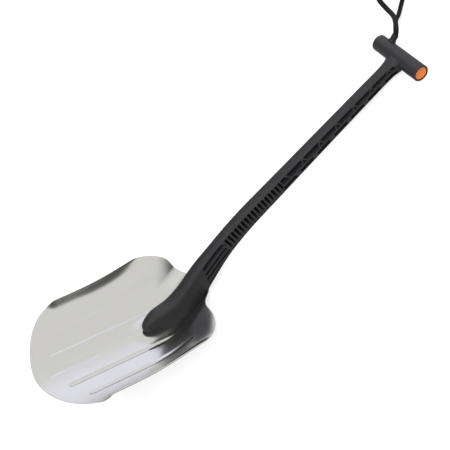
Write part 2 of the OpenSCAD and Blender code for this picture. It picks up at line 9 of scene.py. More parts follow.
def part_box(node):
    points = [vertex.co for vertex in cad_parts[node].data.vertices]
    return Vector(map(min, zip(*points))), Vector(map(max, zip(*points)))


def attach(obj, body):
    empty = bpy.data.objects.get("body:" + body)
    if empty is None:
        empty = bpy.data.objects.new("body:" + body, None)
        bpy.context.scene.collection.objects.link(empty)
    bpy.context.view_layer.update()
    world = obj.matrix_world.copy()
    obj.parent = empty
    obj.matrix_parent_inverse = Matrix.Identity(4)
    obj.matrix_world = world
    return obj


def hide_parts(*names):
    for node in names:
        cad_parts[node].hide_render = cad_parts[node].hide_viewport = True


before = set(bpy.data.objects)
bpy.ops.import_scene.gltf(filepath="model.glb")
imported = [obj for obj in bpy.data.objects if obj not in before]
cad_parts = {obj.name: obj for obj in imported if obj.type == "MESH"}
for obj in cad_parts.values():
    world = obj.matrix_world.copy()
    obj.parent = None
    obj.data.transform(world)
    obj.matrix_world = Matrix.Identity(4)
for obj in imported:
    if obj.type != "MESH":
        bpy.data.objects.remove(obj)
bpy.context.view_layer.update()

bl_info = {
    "name": "Avalanche shovel",
    "version": (1, 0, 0),
    "blender": (4, 5, 0),
    "location": "View3D > Sidebar > Shovel",
    "description": "Builds a snow shovel with an aluminium scoop and a moulded handle",
    "category": "Add Mesh",
}

BODY = "root"
MM = 0.001


# ---- sizes and colours that a user would change ----

def length(name, default, description):
    """A size property in metres, given in millimetres."""
    return FloatProperty(
        name=name, description=description, default=default * MM, unit="LENGTH", precision=4
    )


def colour(name, default, description):
    """A colour property as an sRGB hex value."""
    return StringProperty(name=name, description=description, default=default)


class ScoopSettings(bpy.types.PropertyGroup):
    width: length("Width", 240, "Width of the scoop, rim to rim")
    sheet: length("Sheet", 1.6, "Thickness of the aluminium sheet")
    rib_width: length("Rib width", 13, "Width of the stamped ribs")
    rib_depth: length("Rib depth", 1.3, "Depth of the stamped ribs")
    metal: colour("Metal", "#DCDCDA", "Colour of the aluminium")
    rows: IntProperty(name="Rows", description="Faces along the scoop", default=160, min=30)
    columns: IntProperty(name="Columns", description="Faces across the scoop", default=240, min=60)


class HandleSettings(bpy.types.PropertyGroup):
    web: length("Web", 4, "Wall between the pockets of the two sides")
    flange: length("Flange", 2.8, "Flange above and below the pockets")
    plastic: colour("Plastic", "#262629", "Colour of the moulding")
    rings: IntProperty(name="Rings", description="Faces along the handle", default=190, min=40)
    sides: IntProperty(name="Sides", description="Faces around the handle", default=72, min=16)


class GripSettings(bpy.types.PropertyGroup):
    sleeve: length("Sleeve wall", 3, "Wall of the soft sleeve")
    rubber: colour("Rubber", "#29292D", "Colour of the sleeve")
    caps: colour("Caps", "#FF8E42", "Colour of the end caps")
    ferrule: colour("Ferrule", "#1E1E20", "Colour of the ferrule")


class LoopSettings(bpy.types.PropertyGroup):
    reach: length("Reach", 131, "How far the loop lies out past the grip")
    width: length("Webbing width", 9, "Width of the webbing")
    thickness: length("Webbing thickness", 1.8, "Thickness of the webbing")
    webbing: colour("Webbing", "#0E0E0F", "Colour of the webbing")


class StageSettings(bpy.types.PropertyGroup):
    floor: colour("Floor", "#B4B4B6", "Colour of the floor")
    backdrop: colour("Backdrop", "#EDECE9", "Colour of the light from all round")
    lens: FloatProperty(
        name="Lens", description="Focal length of the camera", default=88.1 * MM, unit="LENGTH"
    )


# ---- the shovel's own level frame and the frame it lies in ----

# In the level frame the scoop's front tip is the origin, its floor is level and the
# handle runs towards +X. The shovel lies turned about Y, on its heel and its grip.
nose = Vector((203.0, 0.0, 23.5)) * MM
nose_len = 33.6 * MM
heel_r = 102.0 * MM
neck_angle = math.radians(51.0)
neck_r = 548.0 * MM
shaft_angle = math.radians(33.4)
shaft_len = 350.0 * MM
heel_end = nose_len + heel_r * neck_angle
neck_end = heel_end + neck_r * (neck_angle - shaft_angle)
spine_len = neck_end + shaft_len


def slope(s):
    """Angle of the handle's centre line at distance s from its nose."""
    if s < nose_len:
        return 0.0
    if s < heel_end:
        return (s - nose_len) / heel_r
    if s < neck_end:
        return neck_angle - (s - heel_end) / neck_r
    return shaft_angle


def spine(s):
    """Point of the handle's centre line at distance s from its nose, in the level frame."""
    if s < nose_len:
        return nose + Vector((s, 0, 0))
    a = slope(min(s, heel_end))
    p = nose + Vector((nose_len + heel_r * math.sin(a), 0, heel_r * (1 - math.cos(a))))
    if s > heel_end:
        b = slope(min(s, neck_end))
        p += neck_r * Vector((math.sin(a) - math.sin(b), 0, math.cos(b) - math.cos(a)))
    if s > neck_end:
        p += (s - neck_end) * Vector((math.cos(b), 0, math.sin(b)))
    return p


def off_spine(s, n):
    """Point n above the centre line."""
    a = slope(s)
    return spine(s) + n * Vector((-math.sin(a), 0, math.cos(a)))


def lay_matrix():
    """Turns the level frame into the part's own frame, from where its nodes lie."""
    low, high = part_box("grip_sleeve")
    grip = (low + high) / 2
    tip_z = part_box("scoop")[1].z
    middle = spine(spine_len)
    tip_x = grip.x - math.sqrt(middle.x ** 2 + middle.z ** 2 - (tip_z - grip.z) ** 2)
    turn = math.atan2(middle.z, middle.x) - math.atan2(grip.z - tip_z, grip.x - tip_x)
    return Matrix.Translation((tip_x, 0, tip_z)) @ Matrix.Rotation(turn, 4, "Y")


LAY = lay_matrix()
grip_low, grip_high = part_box("grip_sleeve")
grip_r = (grip_high.z - grip_low.z) / 2
grip_len = grip_high.y - grip_low.y
bar_s = spine_len
bar_at = spine(bar_s)
ACROSS = Matrix.Translation(bar_at) @ Matrix.Rotation(math.pi / 2, 4, "X")

# Clearance between pieces that fit into each other
fit_gap = 0.1 * MM
# How far the end caps' faces lie inside the ends of the sleeve, and their thickness
cap_inset = 1.2 * MM
cap_t = 2.6 * MM


# ---- small tools ----

# Points closer than this become one
weld = 0.001 * MM
# Faces that meet at more degrees than this have a sharp edge between them
sharp_turn = 35.0


def linear(hex_colour):
    """Linear RGBA from an sRGB hex value."""
    channels = [int(hex_colour.lstrip("#")[i:i + 2], 16) / 255 for i in (0, 2, 4)]
    return [c / 12.92 if c <= 0.04045 else ((c + 0.055) / 1.055) ** 2.4 for c in channels] + [1]


def ease(t):
    """Smooth step from 0 to 1, level at both ends."""
    return (1 - math.cos(math.pi * min(max(t, 0.0), 1.0))) / 2


def bow(v, power):
    """A sine or cosine bent towards a squared oval; a power of 2 leaves a circle."""
    return math.copysign(abs(v) ** (2 / power), v)


def extrude(bm, faces):
    """Extrudes faces in place and returns the new vertices."""
    made = bmesh.ops.extrude_face_region(bm, geom=faces)
    return [part for part in made["geom"] if isinstance(part, bmesh.types.BMVert)]


def shade(bm, turn):
    """Smooth shading, with a sharp edge where faces meet at more than turn degrees."""
    for f in bm.faces:
        f.smooth = True
    for e in bm.edges:
        e.smooth = not (e.is_manifold and e.calc_face_angle(0) > math.radians(turn))


def new_object(name, bm):
    """Puts a bmesh into a new object."""
    mesh = bpy.data.meshes.new(name)
    bm.to_mesh(mesh)
    bm.free()
    obj = bpy.data.objects.new(name, mesh)
    bpy.context.collection.objects.link(obj)
    return obj


def finish_piece(name, bm, material, node, matrix=LAY, sharp=sharp_turn):
    """Turns a bmesh in the level frame into the piece that stands for a node."""
    bmesh.ops.transform(bm, matrix=matrix, verts=bm.verts)
    shade(bm, sharp)
    obj = new_object(name, bm)
    obj.data.materials.append(material)
    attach(obj, BODY)
    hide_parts(node)
    return obj


def carve(obj, cutter_bm, operation="DIFFERENCE", matrix=LAY):
    """Cuts a bmesh in the level frame out of a piece, or joins it on, for good."""
    bmesh.ops.transform(cutter_bm, matrix=matrix, verts=cutter_bm.verts)
    cutter = new_object("cutter", cutter_bm)
    cutter_mesh = cutter.data
    mod = obj.modifiers.new("carve", "BOOLEAN")
    mod.operation = operation
    mod.solver = "MANIFOLD"
    mod.object = cutter
    deps = bpy.context.evaluated_depsgraph_get()
    made = bpy.data.meshes.new_from_object(obj.evaluated_get(deps))
    obj.modifiers.remove(mod)
    obj.data = made
    bpy.data.objects.remove(cutter)
    bpy.data.meshes.remove(cutter_mesh)


def mend_cuts(obj):
    """Welds the slivers that a cut leaves and shades the piece afresh."""
    bm = bmesh.new()
    bm.from_mesh(obj.data)
    bmesh.ops.remove_doubles(bm, verts=bm.verts, dist=2 * weld)
    bmesh.ops.dissolve_degenerate(bm, edges=bm.edges, dist=2 * weld)
    shade(bm, sharp_turn)
    bm.to_mesh(obj.data)
    bm.free()


def close_ends(bm, dist=weld):
    """Welds a rolled-up grid along its seam and fills its two open ends."""
    bmesh.ops.remove_doubles(bm, verts=bm.verts, dist=dist)
    bmesh.ops.holes_fill(bm, edges=[e for e in bm.edges if e.is_boundary], sides=0)
    bmesh.ops.recalc_face_normals(bm, faces=bm.faces)


def turned(profile, steps=72):
    """A closed profile of (radius, height) spun about Z."""
    bm = bmesh.new()
    verts = [bm.verts.new((r, 0, z)) for r, z in profile]
    edges = [bm.edges.new((verts[i - 1], verts[i])) for i in range(len(verts))]
    bmesh.ops.spin(
        bm, geom=verts + edges, cent=(0, 0, 0), axis=(0, 0, 1), angle=2 * math.pi,
        steps=steps, use_merge=True,
    )
    bmesh.ops.remove_doubles(bm, verts=bm.verts, dist=weld)
    bmesh.ops.recalc_face_normals(bm, faces=bm.faces)
    return bm


def arc(centre_r, centre_z, radius, start, end, steps=6):
    """Points on an arc of a profile, angles in degrees."""
    made = []
    for k in range(steps + 1):
        a = math.radians(start + (end - start) * k / steps)
        made.append((centre_r + radius * math.cos(a), centre_z + radius * math.sin(a)))
    return made


def bar(radius, half_len, segments=64):
    """A cylinder along the grip's axis."""
    bm = bmesh.new()
    bmesh.ops.create_cone(
        bm, cap_ends=True, segments=segments, radius1=radius, radius2=radius, depth=2 * half_len
    )
    bmesh.ops.rotate(bm, verts=bm.verts, matrix=Matrix.Rotation(math.pi / 2, 3, "X"))
    bmesh.ops.translate(bm, verts=bm.verts, vec=bar_at)
    return bm


# ---- materials ----

# The middle stretch of a noise, where almost all of its values lie
noise_low = 0.3
noise_high = 0.7
# How far a moulded grain stands out
grain_h = 0.1 * MM


def per(size):
    """Scale of a pattern whose grains are about this size."""
    return 1 / size


def new_material(name):
    """A material with its node tree and its shader."""
    material = bpy.data.materials.new(name)
    material.use_nodes = True
    tree = material.node_tree
    return material, tree, tree.nodes["Principled BSDF"]


def add(tree, kind, settings=None, **links):
    """Adds a node; settings are its properties, and links give inputs a value or a socket."""
    node = tree.nodes.new(kind)
    for key, value in (settings or {}).items():
        setattr(node, key, value)
    for key, value in links.items():
        socket = node.inputs[int(key[1:]) if key[1:].isdigit() else key]
        if isinstance(value, bpy.types.NodeSocket):
            tree.links.new(value, socket)
        else:
            socket.default_value = value
    return node


def polished_aluminium(settings):
    """5000-series aluminium sheet, deep drawn and polished: bright, with soft reflections
    that are a little sharper in some places than in others."""
    material, tree, shader = new_material("polished aluminium")
    place = add(tree, "ShaderNodeTexCoord").outputs["Object"]
    cloud = add(tree, "ShaderNodeTexNoise", i0=place, Scale=per(55.6 * MM), Detail=4.0)
    rough = add(
        tree, "ShaderNodeMapRange",
        i0=cloud.outputs[0], i1=noise_low, i2=noise_high, i3=0.19, i4=0.27,
    )
    shader.inputs["Base Color"].default_value = linear(settings.metal)
    shader.inputs["Metallic"].default_value = 1.0
    tree.links.new(rough.outputs[0], shader.inputs["Roughness"])
    return material


def glass_filled_nylon(settings):
    """Glass-filled nylon, injection moulded with a fine spark-eroded grain: dark, half matte."""
    material, tree, shader = new_material("glass-filled nylon")
    place = add(tree, "ShaderNodeTexCoord").outputs["Object"]
    # A spark-eroded grain is 0.05 mm wide, too fine to show, so it is drawn coarser
    grain = add(tree, "ShaderNodeTexNoise", i0=place, Scale=per(0.714 * MM), Detail=2.0)
    cloud = add(tree, "ShaderNodeTexNoise", i0=place, Scale=per(33.3 * MM), Detail=3.0)
    rough = add(
        tree, "ShaderNodeMapRange",
        i0=cloud.outputs[0], i1=noise_low, i2=noise_high, i3=0.42, i4=0.54,
    )
    bump = add(tree, "ShaderNodeBump", Strength=0.25, Distance=grain_h, Height=grain.outputs[0])
    shader.inputs["Base Color"].default_value = linear(settings.plastic)
    tree.links.new(rough.outputs[0], shader.inputs["Roughness"])
    tree.links.new(bump.outputs[0], shader.inputs["Normal"])
    return material


def soft_rubber(name, tint, roughness):
    """Thermoplastic rubber, overmoulded: dark, matte, with a fine leathery grain."""
    material, tree, shader = new_material(name)
    place = add(tree, "ShaderNodeTexCoord").outputs["Object"]
    grain = add(tree, "ShaderNodeTexVoronoi", i0=place, i2=per(1.11 * MM))
    bump = add(tree, "ShaderNodeBump", Strength=0.2, Distance=grain_h, Height=grain.outputs[0])
    shader.inputs["Base Color"].default_value = linear(tint)
    shader.inputs["Roughness"].default_value = roughness
    tree.links.new(bump.outputs[0], shader.inputs["Normal"])
    return material


def orange_abs(settings):
    """ABS, injection moulded in orange: even colour and a satin sheen."""
    material, tree, shader = new_material("orange ABS")
    place = add(tree, "ShaderNodeTexCoord").outputs["Object"]
    grain = add(tree, "ShaderNodeTexNoise", i0=place, Scale=per(0.833 * MM), Detail=2.0)
    bump = add(tree, "ShaderNodeBump", Strength=0.1, Distance=grain_h, Height=grain.outputs[0])
    shader.inputs["Base Color"].default_value = linear(settings.caps)
    shader.inputs["Roughness"].default_value = 0.42
    tree.links.new(bump.outputs[0], shader.inputs["Normal"])
    return material


def zinc_plate():
    """Zinc-plated steel: grey metal with a faintly uneven gloss."""
    material, tree, shader = new_material("zinc-plated steel")
    place = add(tree, "ShaderNodeTexCoord").outputs["Object"]
    cloud = add(tree, "ShaderNodeTexNoise", i0=place, Scale=per(2.5 * MM), Detail=3.0)
    rough = add(
        tree, "ShaderNodeMapRange",
        i0=cloud.outputs[0], i1=noise_low, i2=noise_high, i3=0.25, i4=0.4,
    )
    shader.inputs["Base Color"].default_value = linear("#B9B9BB")
    shader.inputs["Metallic"].default_value = 1.0
    tree.links.new(rough.outputs[0], shader.inputs["Roughness"])
    return material


# A diagonal wave texture turns by this angle for each unit of its map at a scale of 1
band_turn = 10
# Distance between the weave's diagonal ribs, measured along the webbing
weave_pitch = 1.257 * MM
weave_h = 0.25 * MM


def polyester_webbing(settings):
    """Polyester webbing, woven in a herringbone: black, dull, with raised ribs across it.
    Its UV map is in millimetres."""
    material, tree, shader = new_material("polyester webbing")
    uv = add(tree, "ShaderNodeUVMap", {"uv_map": "weave"}).outputs[0]
    ribs = add(
        tree, "ShaderNodeTexWave", {"wave_type": "BANDS", "bands_direction": "DIAGONAL"},
        i0=uv, Scale=2 * math.pi / (band_turn * weave_pitch / MM), Distortion=0.4,
    )
    bump = add(tree, "ShaderNodeBump", Strength=0.6, Distance=weave_h, Height=ribs.outputs[1])
    shader.inputs["Base Color"].default_value = linear(settings.webbing)
    shader.inputs["Roughness"].default_value = 0.8
    shader.inputs["Specular IOR Level"].default_value = 0.25
    shader.inputs["Sheen Weight"].default_value = 0.05
    tree.links.new(bump.outputs[0], shader.inputs["Normal"])
    return material


# ---- scoop ----

# The front edge is a squared curve that leaves the sides this far behind the tip
front_len = 80 * MM
front_power = 1.7
scoop_len = 301 * MM
corner_r = 48 * MM
# The rear wall starts here in the middle, and further forward at the sides
flat_len = 250 * MM
side_rise_x = 125 * MM
start_power = 1.5
rear_h = 60 * MM
corner_drop = 6 * MM
# The rear wall mixes a rise that levels out at the rim with one that steepens up to it
wall_power = 1.9
wall_steep = 1.75
wall_level = 0.25
# The saddle carries the handle's neck over the rear wall
saddle_power = 1.9
saddle_len = 33 * MM
saddle_half_w = 58 * MM
saddle_drop = 13 * MM
side_h = 10.5 * MM
side_w = 14 * MM
side_ramp_x = 66 * MM
side_ramp_len = 32 * MM
# Radius to which the floor is dished
dish_r = 263 * MM
rib_pitch = 40.8 * MM
# Both ends of the middle rib, of the pair beside it and of the outer pair
rib_ends = ((25 * MM, 114 * MM), (40 * MM, 250 * MM), (60 * MM, 260 * MM))
# A low boss under the handle's nose
boss_start = 213 * MM
boss_half_w = 34 * MM
boss_flank = 19 * MM
boss_h = 2.4 * MM
# Share by which the rows stand closer together at the front and at the rear
row_crowd = 0.3
# Edges that turn by more degrees than this are the sheet's cut edge
cut_turn = 55
cut_round = 0.4 * MM


class Sheet:
    """Height of the scoop's upper face above each place of its plan."""

    def __init__(self, settings):
        self.half_w = settings.width / 2
        self.rib_w = settings.rib_width
        self.rib_d = settings.rib_depth

    def front(self, y):
        """Distance of the front edge behind the tip."""
        share = min(abs(y) / self.half_w, 1.0)
        return front_len * (1 - (1 - share ** front_power) ** (1 / front_power))

    def corner_in(self, y):
        """How far y is inside the stretch of a rear corner."""
        return max(abs(y) - (self.half_w - corner_r), 0.0)

    def saddle(self, y):
        """1 in the middle of the saddle and 0 beside it."""
        return ease(1 - abs(y) / saddle_half_w)

    def rear(self, y):
        """Distance of the rear rim behind the tip."""
        across = self.corner_in(y)
        return (
            scoop_len - corner_r + math.sqrt(max(corner_r ** 2 - across ** 2, 0.0))
            + saddle_len * self.saddle(y)
        )

    def side(self, x, y):
        """Height of the side walls, which start behind the front corners."""
        t = max((abs(y) - (self.half_w - side_w)) / side_w, 0.0)
        return side_h * t ** 2 * ease((x - side_ramp_x) / side_ramp_len)

    def rim(self, y):
        """Height of the rear rim."""
        return (
            rear_h - saddle_drop * self.saddle(y)
            - corner_drop * ease(self.corner_in(y) / corner_r)
        )

    def rise(self, x, y):
        """Share of the way from the floor up to the rear rim."""
        share = min(abs(y) / self.half_w, 1.0)
        start = flat_len - (flat_len - side_rise_x) * share ** start_power
        t = max((x - start) / (self.rear(y) - start), 0.0)
        saddle = self.saddle(y)
        wall = wall_level * ease(t ** wall_power) + (1 - wall_level) * t ** wall_steep
        return wall * (1 - saddle) + t ** saddle_power * saddle

    def rib(self, x, y):
        """Depth of the stamped ribs below the floor."""
        total = 0.0
        radius = self.rib_w / 2
        for i, (start, end) in enumerate(rib_ends):
            past = max(start + radius - x, x - end + radius, 0.0)
            total += self.rib_d * ease(1 - math.hypot(past, abs(y) - i * rib_pitch) / radius)
        return total

    def boss(self, x, y):
        """Height of the boss under the handle's nose."""
        return boss_h * ease((boss_half_w - math.hypot(y, max(boss_start - x, 0.0))) / boss_flank)

    def z(self, x, y):
        """Height of the upper face."""
        floor = y * y / (2 * dish_r) + self.side(x, y) + self.boss(x, y)
        return floor + (self.rim(y) - floor) * self.rise(x, y) - self.rib(x, y)

    def normal(self, x, y):
        """Upward normal of the upper face."""
        step = 0.5 * MM
        fall_x = self.z(x + step, y) - self.z(x - step, y)
        fall_y = self.z(x, y + step) - self.z(x, y - step)
        return Vector((-fall_x, -fall_y, 2 * step)).normalized()


class SHOVEL_OT_scoop(bpy.types.Operator):
    """Builds the stamped scoop from a flat blank"""
    bl_idname = "shovel.scoop"
    bl_label = "Scoop"

    def execute(self, context):
        settings = context.scene.shovel_scoop
        sheet = Sheet(settings)
        bm = bmesh.new()
        bmesh.ops.create_grid(
            bm, x_segments=settings.rows, y_segments=settings.columns, size=1.0
        )
        for v in bm.verts:
            along = (v.co.x + 1) / 2
            along -= row_crowd * math.sin(2 * math.pi * along) / (2 * math.pi)
            y = sheet.half_w * v.co.y
            x = sheet.front(y) + (sheet.rear(y) - sheet.front(y)) * along
            v.co = (x, y, sheet.z(x, y))
        for v in extrude(bm, bm.faces[:]):
            v.co -= settings.sheet * sheet.normal(v.co.x, v.co.y)
        bmesh.ops.recalc_face_normals(bm, faces=bm.faces)
        turn = math.radians(cut_turn)
        cut_edge = [e for e in bm.edges if e.is_manifold and e.calc_face_angle(0) > turn]
        bmesh.ops.bevel(
            bm, geom=cut_edge, offset=cut_round, offset_type="OFFSET", segments=3, profile=0.5,
            affect="EDGES", clamp_overlap=True, material=-1,
        )
        finish_piece(
            "scoop_shell", bm, polished_aluminium(settings), "scoop", sharp=40
        )
        return {"FINISHED"}


# ---- handle ----

# Squareness of the section, and of its lower half once that has grown square
section_power = 2.6
low_power = 3.6
square_from = nose_len + 86 * MM
square_len = 65 * MM
# The nose is rounded over this length, down to a small flat that starts the skin
nose_round = 26 * MM
nose_flat = 0.4 * MM
# The shaft widens just before the grip and ends this far inside the sleeve's bore
flare_len = 16 * MM
flare_w = 4 * MM
shaft_in = 4 * MM
shaft_half_w = 12.8 * MM
shaft_half_h = 12.6 * MM
# A share of the rings, from the nose on, stands closer together on a share of the length
close_rings = 0.2
close_len = 0.1
# Distance along the centre line, half width, height above it, depth below it, and the
# height where the section is widest. Over the scoop it is widest low down, like a dome
sections = [
    (0, 14 * MM, 5 * MM, 30 * MM, -14 * MM),
    (nose_len, 19 * MM, 13.8 * MM, 48 * MM, -16 * MM),
    (nose_len + 26 * MM, 20.6 * MM, 18 * MM, 50 * MM, -16 * MM),
    (nose_len + 56 * MM, 20 * MM, 24.1 * MM, 46 * MM, -12 * MM),
    (nose_len + 86 * MM, 19.4 * MM, 26.3 * MM, 24 * MM, -8 * MM),
    (nose_len + 116 * MM, 17.8 * MM, 25.4 * MM, 21 * MM, -4 * MM),
    (nose_len + 151 * MM, 16 * MM, 21.3 * MM, 18.5 * MM, 0),
    (nose_len + 186 * MM, 15.3 * MM, 19.5 * MM, 17 * MM, 0),
    (neck_end, 14.8 * MM, 17.3 * MM, 16.3 * MM, 0),
    (neck_end + 110 * MM, 14 * MM, 15.5 * MM, 14.5 * MM, 0),
    (bar_s - 90 * MM, shaft_half_w, shaft_half_h + 1 * MM, shaft_half_h, 0),
    (bar_s - grip_r - flare_len, shaft_half_w, shaft_half_h, shaft_half_h, 0),
    (bar_s - grip_r, shaft_half_w + flare_w, shaft_half_h, shaft_half_h, 0),
    (bar_s, shaft_half_w + flare_w, shaft_half_h, shaft_half_h, 0),
]


def section_at(s):
    """Half width, height above, depth below and widest height, on smooth curves."""
    last = len(sections) - 1
    i = max(k for k in range(last) if s >= sections[k][0] or k == 0)
    (s0, *a), (s1, *b) = sections[i], sections[i + 1]

    def tangent(k):
        if k in (0, last):
            return (0.0, 0.0, 0.0, 0.0)
        span = sections[k + 1][0] - sections[k - 1][0]
        return [(q - p) / span for p, q in zip(sections[k - 1][1:], sections[k + 1][1:])]

    d = s1 - s0
    t = (s - s0) / d
    u = 1 - t
    return [
        p * (1 + 2 * t) * u * u + q * t * t * (3 - 2 * t) + m * d * t * u * u - n * d * t * t * u
        for p, q, m, n in zip(a, b, tangent(i), tangent(i + 1))
    ]


def power_at(s, w):
    """Squareness of the handle's section; the lower half grows squarer behind the scoop."""
    if w > 0:
        return section_power
    return section_power + (low_power - section_power) * ease((s - square_from) / square_len)


def handle_point(s, turn):
    """Point of the handle's skin at distance s from the nose and an angle round it."""
    half_w, above, below, widest = section_at(s)
    ahead = max(1 - (s + nose_flat) / (nose_round + nose_flat), 0.0)
    share = math.sqrt(1 - ahead ** 2)
    c, w = math.cos(turn), math.sin(turn)
    reach = above - widest if w > 0 else below + widest
    power = power_at(s, w)
    p = off_spine(s, widest + bow(w, power) * share * reach)
    p.y = bow(c, power) * share * half_w
    return p


def ring_at(t):
    """Distance from the nose of the ring at a share t of all rings, as a share of the length."""
    if t < close_rings:
        return close_len * (t / close_rings) ** 2
    return close_len + (1 - close_len) * (t - close_rings) / (1 - close_rings)


# Clearance of the handle above the sheet, and the reach of what cuts the seat
seat_gap = 0.195 * MM
seat_front = 12 * MM
seat_half_w = 33 * MM
seat_back = Vector((30, 0, 24)) * MM
seat_floor = -60 * MM


def seat_cutter(sheet, rows=40, columns=24):
    """Everything below and behind the scoop's upper face, under the handle."""
    bm = bmesh.new()
    start = nose.x - seat_front
    bmesh.ops.create_grid(bm, x_segments=rows, y_segments=columns, size=1.0)
    for v in bm.verts:
        y = seat_half_w * v.co.y
        # The last row lies past the rear rim
        row = (v.co.x + 1) / 2 * (rows + 1)
        x = start + (sheet.rear(y) - start) * min(row / rows, 1.0)
        v.co = (x, y, sheet.z(x, y) + seat_gap)
        if row > rows + 0.5:
            v.co += seat_back
    for v in extrude(bm, bm.faces[:]):
        v.co.z = seat_floor
    bmesh.ops.recalc_face_normals(bm, faces=bm.faces)
    return bm


# Pocket pattern: distances along the centre line and heights above it
ladder_s0 = neck_end - 77.5 * MM
ladder_pitch = 8.27 * MM
ladder_slot = 4.3 * MM
ladder_count = 17
ladder_end = ladder_s0 + (ladder_count - 1) * ladder_pitch + ladder_slot / 2
# The slots of the ladder lean less and less towards the grip
ladder_lean = 0.13
ladder_r = 1 * MM
# A rib runs along the ladder, between the slots and a row of short windows
rib_n = -4.9 * MM
rib_t = 4 * MM
cross_low = -10.2 * MM
cross_r = 0.9 * MM
slot_gap = 4.6 * MM
# Height of each long slot above the centre line at both ends, and its width
long_slots = (
    (17.2 * MM, 14.2 * MM, 5.4 * MM), (8.8 * MM, 5.7 * MM, 5 * MM),
    (0, -4 * MM, 5.2 * MM), (-10 * MM, -13.2 * MM, 3.6 * MM),
)
long_slot_len = 53 * MM
long_slot_step = 6.8 * MM
long_slot_slant = 1.2 * MM
long_slot_r = 1.2 * MM
long_slot_steps = 12
# A truss of struts between the upper flange and a chord, over a row of lower slots
lattice_s0 = neck_end + 71.6 * MM
lattice_in = 3 * MM
lattice_pitch = 41.1 * MM
lattice_count = 7
lattice_tail = 12 * MM
lattice_end = lattice_s0 + (lattice_count - 1) * lattice_pitch + lattice_tail
lattice_r = 0.7 * MM
window_r = 1.2 * MM
chord_n = 2.05 * MM
chord_t = 4.7 * MM
strut_t = 3.2 * MM
strut_foot = 6.7 * MM
strut_tip = 1.9 * MM
lower_slot = 30.5 * MM
lower_n = -7 * MM
lower_r = 2 * MM
# Pockets are cut from the web out to this distance past it
pocket_reach = 30 * MM
# A corner that is opened wider than this stays one point
open_corner = math.radians(165)


def rounded(points, radius, steps=4):
    """Outline with round corners; a corner that hardly turns stays one point."""
    made = []
    count = len(points)
    for i, p in enumerate(points):
        p = Vector(p)
        a, b = Vector(points[i - 1]) - p, Vector(points[(i + 1) % count]) - p
        angle = a.angle(b)
        if angle > open_corner:
            made.append(p)
            continue
        # Just under half of a side, so that two corners never meet
        reach = min(radius / math.tan(angle / 2), a.length / 2.01, b.length / 2.01)
        start, end = p + a.normalized() * reach, p + b.normalized() * reach
        for k in range(steps + 1):
            t = k / steps
            made.append(start * (1 - t) ** 2 + p * 2 * t * (1 - t) + end * t * t)
    return made


def box_outline(s0, s1, n0, n1):
    """Outline between two distances and two heights."""
    return [(s0, n0), (s1, n0), (s1, n1), (s0, n1)]


def pocket_outlines(flange):
    """All pocket outlines of one side, in distance along the centre line and height."""
    def top(s):
        return section_at(s)[1] - flange

    outlines = []
    s1 = ladder_s0 - ladder_slot / 2 - slot_gap
    for i, (n0, n1, h) in enumerate(long_slots):
        s0 = s1 - long_slot_len - i * long_slot_step
        shares = [k / long_slot_steps for k in range(long_slot_steps + 1)]
        middle = [(s0 + (s1 - s0) * t, n0 + (n1 - n0) * t) for t in shares]
        low = [(s, n - h / 2) for s, n in middle]
        high = [(s, n + h / 2) for s, n in reversed(middle)]
        low[0] = (s0 - long_slot_slant, n0 - h / 2)
        high[-1] = (s0 + long_slot_slant, n0 + h / 2)
        outlines.append(rounded(low + high, long_slot_r))
    for i in range(ladder_count):
        s = ladder_s0 + i * ladder_pitch
        a, b = s - ladder_slot / 2, s + ladder_slot / 2
        lean = ladder_lean * (1 - i / (ladder_count - 1))
        for n0, n1, radius in (
                (rib_n + rib_t / 2, top(s), ladder_r), (cross_low, rib_n - rib_t / 2, cross_r)):
            box = [(x + lean * (n - rib_n), n) for x, n in box_outline(a, b, n0, n1)]
            outlines.append(rounded(box, radius))
    foot = chord_n + chord_t / 2
    inner, outer = strut_foot - strut_t / 2, strut_foot + strut_t / 2
    for i in range(lattice_count):
        s = lattice_s0 + i * lattice_pitch
        peak = top(s)
        start = [(s - inner, foot)]
        if i == 0:
            # The first pocket is wider and starts upright beside the ladder
            near = ladder_end + lattice_in
            start = [(s - strut_tip, peak), (near, peak), (near, foot)]
        outlines.append(rounded([(s + inner, foot), (s, peak - strut_tip), *start], lattice_r))
        # The last window ends at the grip's flare
        far = s + lattice_pitch
        end = [(far - outer, foot), (far - strut_tip, top(far))]
        if i == lattice_count - 1:
            end = [(lattice_end, foot), (lattice_end, top(lattice_end))]
        outlines.append(rounded([(s + strut_tip, peak), (s + outer, foot), *end], window_r))
        low_end = min(s + lower_slot / 2, lattice_end)
        slot = box_outline(s - lower_slot / 2, low_end, lower_n, chord_n - chord_t / 2)
        outlines.append(rounded(slot, lower_r))
    return outlines


def pocket_cutters(settings):
    """Prisms for the pockets of both sides."""
    bm = bmesh.new()
    for outline in pocket_outlines(settings.flange):
        corners = [off_spine(p[0], p[1]) for p in outline]
        verts = [bm.verts.new((p.x, -settings.web / 2, p.z)) for p in corners]
        moved = extrude(bm, [bm.faces.new(verts)])
        bmesh.ops.translate(bm, verts=moved, vec=(0, -pocket_reach, 0))
    bmesh.ops.mirror(bm, geom=bm.verts[:] + bm.edges[:] + bm.faces[:], axis="Y", merge_dist=-1)
    bmesh.ops.recalc_face_normals(bm, faces=bm.faces)
    return bm


